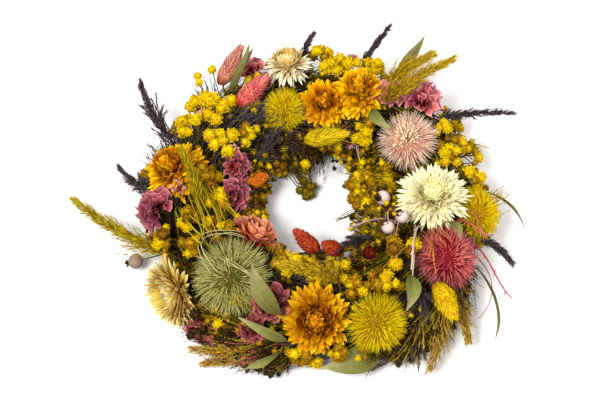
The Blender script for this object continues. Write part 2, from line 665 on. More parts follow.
def florets(tuft, centres, radii, axes, places=54, detail=2, finish=0):
    """Round fluffy heads: tiny petals stand close together all over a ball."""
    n = len(centres)
    k = np.arange(places)
    z = 1 - 1.75 * (k + 0.5) / places
    flat = np.sqrt(1 - z ** 2)
    first, second = across(axes)
    spread = ((flat * np.cos(GOLDEN * k))[:, None] * first[:, None]
              + (flat * np.sin(GOLDEN * k))[:, None] * second[:, None] + z[:, None] * axes[:, None])
    heading = unit(spread + tuft.random.normal(0, 0.16, spread.shape))
    swell = tuft.random.uniform(0.62, 0.82, (n, places, 1)) * radii[:, None, None]
    spots = (centres[:, None] + swell * heading).reshape(-1, 3)
    heading = heading.reshape(-1, 3)
    size = np.repeat(radii, places)
    tone = 0.55 * np.repeat(tuft.random.random(n), places) + 0.45 * tuft.random.random(n * places)
    tuft.balls(centres, radii * 0.74, detail, finish=finish, rough=0.16, tone=0.1)
    start = tuft.random.uniform(0, 6, len(spots))
    for turn in (0, math.pi):
        out = around(heading, start + turn)
        forward = unit(heading + tuft.random.uniform(0.3, 1.3, (len(spots), 1)) * out)
        tuft.blades(spots - 0.10 * size[:, None] * heading, forward, squared(heading, forward),
                    0.40 * size * tuft.random.uniform(0.6, 1.25, len(spots)), 0.30 * size, spoon,
                    curl=0.5, rows=2, cols=2, finish=finish, tone=tone)


def button_mix(seat):
    """The shares of bright, ochre and brown heads: the left side and the hole's wall are the brownest."""
    if seat.section > 140:
        return 0.35, 0.4, 0.25
    if 160 < seat.clock < 245:
        return 0.35, 0.35, 0.3
    if 245 < seat.clock < 330:
        return 0.5, 0.4, 0.1
    return 0.82, 0.18, 0.0


def button_tuft(tuft, seat):
    """A tuft of button flowers of mixed sizes on branching stalks.

    Its materials are the bright heads, the stalks, the ochre heads and the brown heads.
    """
    heads = 6
    w = seat.width
    base = seat.at(seat.rise)
    k = np.arange(heads)
    reach = 0.43 * w * np.sqrt((k + 0.2) / heads)
    turn = GOLDEN * k + tuft.random.uniform(0, 6)
    dome = w * (0.40 - 0.30 * (reach / (0.5 * w)) ** 2) * tuft.random.uniform(0.5, 1.15, heads)
    centres = base + reach[:, None] * around(seat.axis, turn) + dome[:, None] * seat.axis
    centres += tuft.random.normal(0, 0.04 * w, centres.shape)
    size = np.minimum(w * tuft.random.uniform(0.15, 0.27, heads), 6.2)
    stalk(tuft, seat.start, base, finish=1)
    stems = np.stack([bezier([seat.at(seat.rise - 4), base + 0.1 * w * seat.axis, c], 4) for c in centres])
    tuft.tubes(stems, 0.5, finish=1)
    kind = tuft.random.choice(3, heads, p=button_mix(seat))
    for number, finish in enumerate((0, 2, 3)):
        some = kind == number
        if some.any():
            florets(tuft, centres[some], size[some], np.repeat(seat.axis[None], some.sum(), 0), finish=finish)


def paper_tuft(tuft, seat, swell=1.0):
    """Papery mauve flowers: folded funnels with ruffled rims that crowd on one stem."""
    w = seat.width * swell
    base = seat.at(seat.rise + 1)
    stalk(tuft, seat.start, base, finish=1)
    first, second = across(seat.axis)
    round_it = 7
    turns = np.radians(np.arange(round_it) * 51.4) + tuft.random.normal(0, 0.2, round_it)
    heads = [unit(seat.axis * 0.85 + np.cos(a) * first * 0.9 + np.sin(a) * second * 0.9) for a in turns]
    for head in [seat.axis, *heads]:
        size = w * tuft.random.uniform(0.30, 0.42)
        start = base + head * 0.12 * w
        ruffle(tuft, start, unit(head + tuft.random.normal(0, 0.12, 3)), size, 0.52 * w)
        ruffle(tuft, start + head * 0.10 * w, head, size * 0.62, 0.34 * w)


def ruffle(tuft, start, axis, radius, length, rows=7, cols=26):
    """One funnel of thin paper whose rim folds in and out."""
    v = np.linspace(0, 1, rows)[:, None]
    turn = np.linspace(0, 2 * math.pi, cols, endpoint=False)[None]
    folds = tuft.random.integers(4, 7)
    phase = tuft.random.uniform(0, 6, 3)
    wave = 0.26 * np.sin(folds * turn + phase[0]) + 0.14 * np.sin((folds * 2 + 1) * turn + phase[1])
    reach = radius * (0.08 + 0.92 * v ** 1.15) * (1 + wave * v ** 1.3)
    lift = length * (v ** 0.8) * (1 + 0.16 * np.sin(folds * turn + phase[2]) * v)
    first, second = across(axis)
    points = (start + (reach * np.cos(turn))[..., None] * first + (reach * np.sin(turn))[..., None] * second
              + lift[..., None] * axis)
    shades = tuft.shade(1, v[:, 0], np.abs(np.sin(folds / 2 * turn[0])), None)
    tuft.add(points, grid_faces(1, rows, cols, closed=True), shades)


def feather(tuft, seat, fullness, lean, branches=80, spikelets=7, grain=4.8, slim=0.24):
    """A grass plume: branches that sweep forward along one stalk and shorten to its tip, with spikelets."""
    random = tuft.random
    reach, way = seat.length, seat.way
    side, _ = across(way)
    middle = seat.knot + 0.5 * reach * way + 0.07 * reach * (seat.axis + random.uniform(-1, 1) * side)
    steps = 40
    low, high = 0.10, 0.97      # the branches leave the stalk between these shares of its length
    curve = bezier([seat.at(0.2 * seat.rise), seat.knot, middle, seat.tip], steps)
    tuft.tubes(curve[None], 0.6 * np.linspace(1.3, 0.3, steps), sides=5)
    t = low + (high - low) * (np.arange(branches) + random.random(branches)) / branches
    place = (t * (steps - 2)).astype(int)
    start = curve[place]
    ahead = unit(curve[place + 1] - start)
    out = around(ahead, GOLDEN * np.arange(branches))
    length = fullness * seat.breadth(0.2) * (1.2 - 0.95 * t) * random.uniform(0.55, 1.3, branches)
    open_out = lean * random.uniform(0.4, 1.3, branches) * (1.15 - 0.4 * t)
    tips = start + length[:, None] * unit(ahead + open_out[:, None] * out)
    past_tip = (tips - seat.tip) @ way >= 0.05 * reach
    tips = np.where(past_tip, 0.7, 1.0)[:, None] * (tips - start) + start
    s = np.linspace(0, 1, 5)[:, None]
    lines = (start[:, None] + s * (tips - start)[:, None]
             + (0.12 * s * (1 - s)) * length[:, None, None] * out[:, None])
    tuft.tubes(lines, 0.2 * np.linspace(1.2, 0.5, 5))
    spikelets_on(tuft, lines, spikelets, grain, slim, 0.15, 0.32, hairs=1.3, rows=3)


def fan(tuft, seat, strands, spikelets, grain, slim, splay, lean):
    """Dark grass: a few spikes from one stem, close-set from low down with spikelets that point forwards."""
    random = tuft.random
    reach, way = seat.length, seat.way
    first, second = across(way)
    turn = GOLDEN * np.arange(strands) + random.uniform(0, 6)
    spread = splay * reach * (np.arange(strands) > 0)
    short = reach * random.uniform(0.12, 0.66, strands) * (np.arange(strands) > 0)
    tips = (seat.tip - 0.4 * grain * way - short[:, None] * way + (spread * np.cos(turn))[:, None] * first
            + (spread * np.sin(turn))[:, None] * second)
    foot, middle = seat.at(0.2 * seat.rise), (seat.knot + seat.tip) / 2
    steps = 18
    lines = np.stack([bezier([foot, seat.knot, middle + 0.2 * (tip - seat.tip), tip], steps) for tip in tips])
    tuft.tubes(lines, 0.5 * np.linspace(1.3, 0.3, steps), sides=4)
    spikelets_on(tuft, lines, spikelets, grain, slim, 0.24, lean, rows=3, cols=3)


def dark_plume(tuft, seat, strands=12, splay=0.17, fullness=3.4):
    """One long plume of dark grass with a sheaf of shorter spikes round its foot."""
    feather(tuft, seat, fullness, 0.34, branches=46, spikelets=8, grain=5.6, slim=0.22)
    fan(tuft, seat, strands, 44, 6.5, 0.17, splay, 0.4)


def spikelets_on(tuft, lines, count, grain, slim, first_grain, lean, hairs=0.0, rows=2, cols=2):
    """Spikelets along stalks, from a share of their length to their tips.

    A grain is a spikelet's length, slim is its width as a share of that, and hairs is the length of its hair.
    """
    random = tuft.random
    n, k, _ = lines.shape
    t = first_grain + (1 - first_grain) * (np.arange(count) + random.random((n, count))) / (count + 0.5)
    place = t * (k - 1)
    low = np.minimum(place.astype(int), k - 2)
    line = np.arange(n)[:, None]
    here, there = lines[line, low], lines[line, low + 1]
    base = (here + (place - low)[..., None] * (there - here)).reshape(-1, 3)
    way = unit(there - here)
    out = around(way, GOLDEN * np.arange(count) + random.uniform(0, 6, (n, 1)))
    forward = unit(way + lean * out * random.uniform(0.5, 1.4, (n, count, 1))).reshape(-1, 3)
    up = squared(out.reshape(-1, 3), forward)
    size = grain * (1.1 - 0.5 * t.reshape(-1)) * random.uniform(0.7, 1.25, n * count)
    tuft.blades(base, forward, up, size, size * slim, lance, curl=-0.2, cup=0.6, rows=rows, cols=cols)
    if hairs:
        s = np.linspace(0, 1, 2)[:, None]
        hair = s * (hairs * size[:, None, None]) * unit(forward + 0.2 * up)[:, None]
        tuft.tubes(base[:, None] + hair, np.array([0.11, 0.04]))


def leaf(tuft, seat, sweep=0.08, width=0.98):
    """A dried leaf: a blade that arches and sweeps on the place of its flat solid, with its midrib."""
    blade = (seat.along > 0.15 * seat.length) & (seat.along < 0.9 * seat.length)
    wide = seat.off[blade][np.argmax(np.linalg.norm(seat.off[blade], axis=1))]
    side = unit(wide)
    up = np.cross(seat.way, side)
    up = up if up @ seat.axis > 0 else -up
    middle = (seat.knot + seat.tip) / 2 + 2 * seat.length * (0.12 * up + sweep * side)
    steps = 20
    spine = bezier([seat.knot, middle, seat.tip], steps)
    tuft.curve([seat.start, seat.knot - 3 * seat.axis, seat.knot], 6, 0.7, sides=5, finish=1)
    ribbon(tuft, spine, up, np.linalg.norm(wide) * width)
    tuft.tubes(spine[None] - 0.1 * up, 0.32 * np.linspace(1.3, 0.2, steps), sides=4, finish=1)


def ribbon(tuft, spine, up, half):
    """A blade along a spine, twisted, folded along its middle, with edges that wave a little."""
    v = np.linspace(0, 1, len(spine))
    u = np.linspace(-1, 1, 11)
    heading = unit(np.gradient(spine, axis=0))
    side = unit(np.cross(heading, up))
    twist = tuft.random.uniform(-0.3, 0.3)
    side, lift = turned(side, np.cross(side, heading), (twist * v)[:, None])
    reach = (half * willow(v))[:, None] * u
    phase = tuft.random.uniform(0, 6)
    fold = 0.40 * np.abs(reach) ** 1.2 / max(half, 1) ** 0.2
    wave = 0.10 * half * (u ** 2) * np.sin(9 * v[:, None] + phase + 1.5 * np.sign(u))
    points = spine[:, None] + reach[..., None] * side[:, None] + (fold + wave)[..., None] * lift[:, None]
    tuft.add(points, grid_faces(1, len(v), len(u)), tuft.shade(1, v, np.abs(u), None))


def berry(tuft, seat):
    """A dry berry on its thin stalk, with the small open calyx at its end."""
    centre, radius = ball_at_tip(seat)
    way = unit(centre - seat.start)
    tuft.curve([seat.start, seat.at(6.0), centre - 4 * way, centre], 9, 0.6, sides=5, finish=1)
    tuft.ball(centre, radius, 3, rough=0.04, tone=0.5)
    whorls(tuft, centre, way, 9, (0.25 * radius, 0.25 * radius), (0.86 * radius, 0.95 * radius), (40, 60),
           (0.6 * radius, 0.5 * radius), (0.42 * radius, 0.4 * radius), (-30, -10), rounded, finish=2, rows=3)


BALL_LOOK = 6.0     # the points this close to a berry's tip are on its ball


def ball_at_tip(seat):
    """The centre and radius of the ball through the points near the tip, by least squares."""
    points = seat.points[np.linalg.norm(seat.points - seat.tip, axis=1) < BALL_LOOK]
    sums = np.c_[2 * points, np.ones(len(points))]
    x, y, z, rest = np.linalg.lstsq(sums, (points ** 2).sum(1), rcond=None)[0]
    centre = np.array([x, y, z])
    return centre, math.sqrt(rest + centre @ centre)


def twig(tuft, seat, hook=0.0):
    """A bare curving twig with small buds."""
    radius, buds, steps = 0.95, 5, 26
    way, length = seat.way, seat.length
    first, second = across(way)
    a, b = tuft.random.normal(0, 0.10 * length, 2)
    curve = bezier([seat.start, seat.knot, seat.knot + 0.35 * length * way + a * first,
                    seat.knot + 0.7 * length * way + b * second - hook * length * seat.axis, seat.tip], steps)
    tuft.tubes(curve[None], np.linspace(radius, radius * 0.5, steps), sides=6)
    for place in tuft.random.integers(8, 24, buds):
        out = unit(tuft.random.normal(0, 1, 3))
        start = curve[place]
        tuft.curve([start, start + 2 * way + out, start + 4 * way + 2.6 * out], 4,
                   np.array([0.6, 0.5, 0.45, 0.2]) * radius, sides=4)


# -------------------------------------------------------------------------------------- the straw and its bed

ALL_ROUND = (0, 360)
BED = (-10.0, 190.0)        # the sections that the bed of stems covers
FOOT = 27.0                 # the reach of the bed's skin, where loose stems start
BED_STEMS = (28.0, 31.0)    # the reaches between which the bed's stems lie
BED_LEAVES = 29.0           # the reach that the bed's leaves start from
STRAW_FLOOR = 1.0           # the height of the lowest straw above the floor
GRASS_FLOOR = 2.5           # and of the lowest loose grass
STRAND_RADIUS = 0.85
RING_SWING = (23, 106, 14)  # the hanging ring swings within this |x|, past this y and under this height


def skin(tuft, rows, sections, reach, rough, tone, finish, closed=False):
    """A rough skin all round the wreath through some sections, off the floor."""
    cols = len(sections)
    clock = np.linspace(*ALL_ROUND, rows, endpoint=False)[:, None]
    points = on_ring(clock, sections[None], reach + tuft.random.normal(0, rough, (rows, cols)))
    points[..., 2] = np.maximum(points[..., 2], STRAW_FLOOR)
    points = np.concatenate([points, points[:1]])
    shades = tuft.shade(1, np.linspace(0, 1, rows + 1), np.linspace(0, 1, cols), tone)
    tuft.add(points, grid_faces(1, rows + 1, cols, closed), shades, finish)


def straw_ring():
    """The straw base: a rough round-backed ring under strands of straw that run round it."""
    tuft = Tuft("straw_ring")
    random = tuft.random
    sections = np.linspace(0, 360, 30, endpoint=False)
    skin(tuft, 180, sections, SECTION_RADIUS - 1.1, 0.12, 0.1, 1, closed=True)
    strands = 520
    steps = np.linspace(0, 1, 12)
    start = random.uniform(*ALL_ROUND, strands)
    span = random.uniform(16, 44, strands)
    section = random.uniform(-180, 180, strands)
    drift = random.normal(0, 7, strands)
    lift = 0.35 * np.sin(steps * math.pi)[None] * random.uniform(0, 1, strands)[:, None]
    lines = on_ring(start[:, None] + span[:, None] * steps, section[:, None] + drift[:, None] * steps,
                    SECTION_RADIUS - 1.15 + lift)
    lines[..., 2] = np.maximum(lines[..., 2], STRAW_FLOOR + 0.3 * random.random((strands, 1)))
    tuft.tubes(lines, STRAND_RADIUS, sides=4)
    tuft.piece([STRAW, DARK_CORE], "straw_base_ring")


def stem_bed():
    """The bed of bound stems: dark stems laid clockwise, with dead leaves and bracts between them."""
    tuft = Tuft("stem_bed_strands")
    random = tuft.random
    skin(tuft, 160, np.linspace(*BED, 40), FOOT, 0.5, 0.3, 3)
    steps = np.linspace(0, 1, 9)
    for finish, count, radius in ((0, 330, 0.6), (1, 330, 0.55), (2, 190, 0.5)):
        start = random.uniform(*ALL_ROUND, count)
        span = -random.uniform(14, 40, count)
        section = random.uniform(*BED, count)
        drift = random.normal(0, 14, count)
        turn = np.clip(section[:, None] + drift[:, None] * steps, *BED)
        reach = random.uniform(*BED_STEMS, count)[:, None] + random.uniform(-0.5, 2.5, (count, 1)) * steps
        lines = on_ring(start[:, None] + span[:, None] * steps, turn, reach)
        tuft.tubes(lines, radius * np.linspace(1, 0.5, 9), sides=4, finish=finish)
    for finish, count, length, width in ((3, 900, 10, 2.4), (0, 500, 9, 2.0), (2, 450, 10, 1.8),
                                         (1, 300, 11, 2.2)):
        clock = random.uniform(*ALL_ROUND, count)
        places = on_ring(clock, random.uniform(*BED, count), BED_LEAVES)
        out = unit(places - core_point(places))
        a = np.radians(clock)
        clockwise = np.stack([np.sin(a), -np.cos(a), np.zeros(count)], -1)
        forward = unit(0.9 * clockwise + random.uniform(0.2, 1.0, (count, 1)) * out
                       + random.normal(0, 0.35, (count, 3)))
        tuft.blades(places, forward, squared(out, forward), length * random.uniform(0.6, 1.3, count), width,
                    lance, curl=random.normal(0, 0.5, count), finish=finish, rows=2, cols=2)
    tuft.piece([BARK, OLIVE, STRAW_GREEN, DEAD_LEAF], "stem_bed")


# -------------------------------------------------------------- what fills the gaps between the flowers


def off_floor(points, clearance):
    """Lifts points to a clearance above the floor, and those by the hanging ring out of its swing."""
    x, y, z = np.moveaxis(points, -1, 0)
    beside, beyond, below = RING_SWING
    swing = np.where((np.abs(x) < beside) & (y > beyond), below, 0.0)
    return np.stack([x, y, np.maximum(z, np.maximum(clearance, swing))], -1)


def loose_heads(tuft, finish, clock, section, reach, size, feet, stem, **look):
    """Round heads on thin stalks from their feet on the bed."""
    centres = off_floor(on_ring(clock, section, reach), 1.2 * size)
    out = unit(centres - core_point(centres))
    stems = np.stack([bezier([a, a + 4 * o, b], 4) for a, o, b in zip(feet, out, centres)])
    tuft.tubes(stems, stem, finish=1)
    florets(tuft, centres, size, out, **look)
    tuft.piece([finish, OLIVE])


def filler_florets(name, finish, count, reach, radii, sections=BED, clocks=ALL_ROUND):
    """Small loose florets at random between the flowers."""
    tuft = Tuft(name)
    random = tuft.random
    clock = random.uniform(*clocks, count)
    section = random.uniform(*sections, count)
    far = random.uniform(*reach, count)
    feet = on_ring(clock + random.normal(5, 4, count), section + random.normal(0, 5, count), FOOT)
    size = random.uniform(*radii, count)
    loose_heads(tuft, finish, clock, section, far, size, feet, 0.45, places=16, detail=1)


def placed_florets(name, finish, rows):
    """Loose heads at chosen places: each row is clock, section, reach and radius."""
    clock, section, reach, size = np.array(rows, float).T
    loose_heads(Tuft(name), finish, clock, section, reach, size, on_ring(clock + 4, section, FOOT), 0.5)


def placed_papers(name, finish, rows):
    """Loose papery flowers at chosen places: each row is clock, section, reach and radius."""
    tuft = Tuft(name)
    for clock, section, reach, size in rows:
        centre = off_floor(on_ring(clock, section, reach), 1.3 * size)
        out = unit(centre - core_point(centre[None])[0])
        foot = on_ring(clock + 4, section, FOOT)
        tuft.curve([foot, centre - 5 * out, centre], 4, 0.5, sides=3, finish=1)
        for _ in range(3):
            head = unit(out + tuft.random.normal(0, 0.35, 3))
            ruffle(tuft, centre - 0.4 * size * out, head, size * tuft.random.uniform(0.6, 0.9), size, rows=5,
                   cols=20)
    tuft.piece([finish, OLIVE])


def loose_grass(tuft, finish, lines, radius, *spikelets):
    """Grass along lines off the floor, with spikelets on it."""
    lines = off_floor(lines, GRASS_FLOOR)
    tuft.tubes(lines, radius * np.linspace(1.2, 0.4, lines.shape[1]))
    spikelets_on(tuft, lines, *spikelets)
    tuft.piece([finish])


def filler_brush(name, finish, clumps, clocks, sections, reach, per_clump=10, sweep=(4, 16), grain=4.2,
                 splay=5.0):
    """Brushes of grass that start on the bed and sweep outwards and clockwise past the flowers."""
    tuft = Tuft(name)
    random = tuft.random
    count = clumps * per_clump
    clock = np.repeat(random.uniform(*clocks, clumps), per_clump)
    section = np.repeat(random.uniform(*sections, clumps), per_clump)
    steps = np.linspace(0, 1, 7)
    swing = np.repeat(random.uniform(*sweep, clumps), per_clump) + random.normal(0, splay * 0.6, count)
    drift = random.normal(0, splay, count)
    far = np.repeat(random.uniform(*reach, clumps), per_clump) * random.uniform(0.75, 1.05, count)
    lines = on_ring(clock[:, None] - swing[:, None] * steps ** 1.3,
                    section[:, None] + drift[:, None] * steps, FOOT + (far[:, None] - FOOT) * steps)
    loose_grass(tuft, finish, lines, 0.3, 14, grain, 0.25, 0.25, 0.3)


WISP_FOOT = 28      # the reach that wisps start from
DEGREES = 57.3      # in a radian, nearly


def filler_wisps(name, finish, clumps, reach=(34, 44), length=(16, 30), sections=BED, clocks=ALL_ROUND):
    """Wisps of fine grass that lie clockwise between the flowers."""
    tuft = Tuft(name)
    random = tuft.random
    per_clump = 9
    count = clumps * per_clump
    clock = np.repeat(random.uniform(*clocks, clumps), per_clump) + random.normal(0, 1.5, count)
    section = np.repeat(random.uniform(*sections, clumps), per_clump) + random.normal(0, 3, count)
    span = random.uniform(*length, count) / RING_RADIUS * DEGREES
    steps = np.linspace(0, 1, 6)
    far = random.uniform(*reach, count)
    lines = on_ring(clock[:, None] - span[:, None] * steps,
                    section[:, None] + random.normal(0, 9, (count, 1)) * steps,
                    WISP_FOOT + (far[:, None] - WISP_FOOT) * steps ** 0.8)
    loose_grass(tuft, finish, lines, 0.26, 12, 3.3, 0.24, 0.3, 0.3)


def placed_strands(name, finish, rows, radius=0.35, splay=3.0, wave=1.5):
    """Long bare strands: each row is a count, and the clock, section and reach of each place on their way."""
    tuft = Tuft(name)
    random = tuft.random
    steps = 18
    for count, *places in rows:
        clock, section, reach = np.array(places, float).T
        for _ in range(count):
            shift = random.normal(0, splay, (2, 1)) + random.normal(0, splay * 0.4, (2, len(clock)))
            through = on_ring(clock + shift[0], section + shift[1], reach + random.normal(0, 1.2, len(clock)))
            through[1:] += random.normal(0, wave, through[1:].shape)
            foot = on_ring(clock[0] + shift[0, 0], section[0] + shift[1, 0], FOOT)
            line = off_floor(bezier([foot, *through], steps), 1.0)
            tuft.tubes(line[None], radius * np.linspace(1.1, 0.5, steps), sides=4)
    tuft.piece([finish])


# ---------------------------------------------------------------------------------------- making every piece


def make_strawflowers():
    gold = dict(shape=spoon, curl=(20, 60), middle=0.05, widths=(0.095, 0.085), petals=340, reach=0.27,
                jitter=0.36)
    looks = {
        "cream_right": dict(
            size=57, petals=560, opening=(-4, 60), curl=(-8, 24), middle=0.14, lengths=(0.35, 0.12),
            widths=(0.050, 0.036), heights=(0.10, 0.55), reach=0.18, shape=spoon, jitter=0.09),
        "cream_top": dict(
            size=44, petals=200, opening=(-26, 72), curl=(-36, 60), middle=0.20, lengths=(0.34, 0.20),
            widths=(0.075, 0.08), reach=0.12),
        "gold_top_left": dict(
            gold, size=42, opening=(-16, 86), lengths=(0.25, 0.22), heights=(-0.05, 0.8)),
        "gold_top_right": dict(
            gold, size=45, opening=(-16, 80), lengths=(0.26, 0.24), heights=(-0.05, 0.85)),
        "gold_left": dict(
            size=53, petals=400, opening=(-24, 76), curl=(10, 50), middle=0.08, lengths=(0.21, 0.17),
            widths=(0.075, 0.06), heights=(-0.12, 0.75), reach=0.31, shape=spoon, jitter=0.28, sunk=1.0),
        "gold_bottom": dict(
            size=53, petals=330, opening=(-14, 86), curl=(10, 80), middle=0.06, lengths=(0.27, 0.23),
            widths=(0.105, 0.085), heights=(-0.05, 0.70), reach=0.25, shape=spoon, jitter=0.40, sunk=1.2,
            outer=0.45),
        "tan_left": dict(
            size=54, petals=280, opening=(4, 64), curl=(6, 34), middle=0.22, lengths=(0.40, 0.20),
            widths=(0.075, 0.06), shape=spoon),
        "coral_left": dict(
            size=36, petals=70, opening=(10, 66), curl=(20, 50), middle=0.12, lengths=(0.42, 0.26),
            widths=(0.22, 0.18), shape=rounded),
    }
    for name, look in looks.items():
        node = "strawflower_" + name
        tuft = Tuft("bracts_" + name)
        strawflower(tuft, SEATS[node][0], **look)
        petal = dried(node + "_petal", *PETALS[name], streak=0.3, spread=0.28)
        middle = dried(node + "_middle", MIDDLES[name], spread=0.6, rough=0.8, bump=0.5)
        inner = dried(node + "_inner", *INNER_PETALS.get(name, PETALS[name]), streak=0.3, spread=0.32)
        tuft.piece([petal, middle, STALK, petal, inner], node)


def make_pincushions():
    looks = {
        "green_left": dict(count=1150, swell=1.18, thick=0.29, stamen=0.9, sway=0.12),
        "yellow_bottom": dict(count=1300, swell=1.20, thick=0.25),
        "yellow_top": dict(count=1100, swell=1.22, thick=0.24),
        "yellow_right": dict(count=1300, swell=1.40, thick=0.27),
        "salmon_top": dict(count=800, swell=1.15, thick=0.34, middle=110, stamen=1.2, bead=0.6, sway=0.05,
                           stand=0.96, face=1.4, spread=0.24),
        "crimson_right": dict(count=900, swell=1.28, thick=0.30, low=-25.0, sway=0.16),
    }
    for name, look in looks.items():
        node = "pincushion_" + name
        tuft = Tuft("filaments_" + name)
        pincushion(tuft, SEATS[node][0], **look)
        base, body, tip, middle, core = FILAMENTS[name].split()
        hair = dried(node + "_hair", f"{base} {body} {tip}", spread=0.45, bump=0.0)
        heart = dried(node + "_heart", f"{middle} {tip}", spread=0.4, bump=0.0)
        inside = dried(node + "_inside", f"{core} {base}", spread=0.4)
        tuft.piece([hair, heart, inside, GREEN_SCALE], node)


def make_spikes():
    for node, (codes, places) in SPIKES.items():
        tuft = Tuft(node.replace("canary", "grain"))
        for seat in SEATS[node]:
            spike(tuft, seat)
        tuft.piece([dried(node + "_scale", codes, places), OLIVE], node)


def make_by_name(start, grow, finishes, **settings):
    """Grows every node whose name starts with a word and that isn't grown yet, each node as one piece."""
    for node in sorted(SEATS):
        if node.startswith(start) and node + "_grown" not in bpy.data.objects:
            tuft = Tuft(node + "_grown")
            for seat in SEATS[node]:
                grow(tuft, seat, **settings)
            tuft.piece(finishes, node)


def make_hole_fillers(side, clocks, reach, yellow, ochre, dark):
    """Loose heads, brushes and wisps on one side of the hole's wall."""
    filler_florets("florets_hole_" + side, YELLOW, yellow, reach, (2.0, 4.0), (138, 182), clocks)
    filler_florets("florets_hole_ochre_" + side, OCHRE, ochre, reach, (1.8, 3.6), (138, 188), clocks)
    filler_florets("florets_hole_dark_" + side, DEAD_LEAF, dark, reach, (1.6, 3.4), (134, 190), clocks)
    filler_brush("brush_hole_" + side, BARK, 20, clocks, (136, 188), (reach[0] + 4, reach[1]), per_clump=8)
    filler_wisps("wisps_hole_" + side, DARK_GRASS, 10, (34, reach[1]), sections=(135, 180), clocks=clocks)


def make_fillers():
    """What fills the wreath between its flowers: loose heads, brushes of grass and wisps."""
    filler_florets("florets_yellow", YELLOW, 90, (31, 39), (2.2, 4.2))
    filler_florets("florets_ochre", OCHRE, 130, (30, 38), (1.6, 3.6))
    filler_florets("florets_brown", BROWN_BUTTON, 130, (29, 37), (1.6, 3.4))
    filler_florets("florets_dark", DEAD_LEAF, 240, (29, 36), (1.4, 3.0))
    filler_florets("florets_outside", YELLOW, 70, (31, 47), (2.2, 4.4), (-8, 45))
    filler_florets("florets_outside_ochre", OCHRE, 60, (31, 46), (2.0, 4.0), (-8, 45))
    make_hole_fillers("right", (-42, 45), (34, 64), 80, 150, 90)
    make_hole_fillers("top", (45, 135), (30, 50), 14, 40, 130)
    make_hole_fillers("left", (135, 215), (32, 52), 30, 60, 50)
    make_hole_fillers("bottom", (215, 318), (30, 45), 25, 50, 50)
    filler_brush("brush_inner_right", STRAW_GRASS, 16, (-34, 44), (138, 174), (54, 70), 7, (-6, 12))
    filler_brush("brush_inner_top", BARK, 14, (84, 124), (160, 190), (48, 62), 7, (-6, 10))
    filler_wisps("wisps_dark", DARK_GRASS, 90, length=(18, 38))
    filler_wisps("wisps_straw", STRAW_GRASS, 46)
    filler_wisps("wisps_brown", BARK, 50, (32, 42), (18, 34))
    filler_brush("brush_lower_left", STRAW_GRASS, 20, (236, 262), (-16, 30), (38, 60), sweep=(6, 16))
    filler_brush("brush_lower_left_dark", BARK, 56, (230, 262), (-18, 30), (42, 60), sweep=(2, 12))
    filler_brush("brush_lower_left_pink", PINK_TENDRIL, 10, (234, 258), (-12, 24), (38, 60), sweep=(6, 16))
    filler_florets("florets_lower_left", OCHRE, 34, (34, 46), (2.4, 4.4), (-14, 34), (226, 262))
    filler_florets("florets_lower_left_brown", DEAD_LEAF, 140, (34, 54), (2.2, 4.4), (-18, 28), (226, 258))
    filler_brush("brush_lower_right", STRAW_GRASS, 16, (306, 342), (-8, 30), (40, 62), sweep=(8, 24))
    filler_brush("brush_lower_right_dark", DARK_GRASS, 26, (306, 340), (-10, 60), (38, 60), sweep=(4, 18))
    filler_florets("florets_lower_right_brown", DEAD_LEAF, 120, (34, 53), (2.2, 4.2), (-18, 20), (293, 322))
    filler_brush("brush_lower_right_brown", BARK, 56, (305, 334), (-18, 34), (42, 60))
    filler_brush("brush_lower_right_ochre", OCHRE_GRASS, 24, (306, 326), (-14, 24), (48, 64), sweep=(2, 10))
    filler_brush("brush_lower_right_foot", DEAD_LEAF, 14, (290, 303), (-8, 12), (44, 54), sweep=(2, 8))
    filler_brush("brush_upper_left_tips", DARK_GRASS, 3, (132, 140), (32, 46), (56, 64), 6, (0, 4), 4.6, 2.0)
    filler_brush("sprigs_lower_left", STRAW_GRASS, 6, (246, 258), (56, 66), (54, 62), 7, (8, 18), splay=2.5)
    filler_brush("brush_left_dark", DARK_GRASS, 12, (158, 172), (14, 52), (44, 60), sweep=(0, 10))
    filler_brush("brush_upper_left_dark", DARK_GRASS, 14, (130, 172), (60, 130), (40, 50), sweep=(10, 24))
    filler_brush("brush_top_left_dark", DARK_GRASS, 10, (108, 140), (95, 145), (42, 52), sweep=(10, 24))


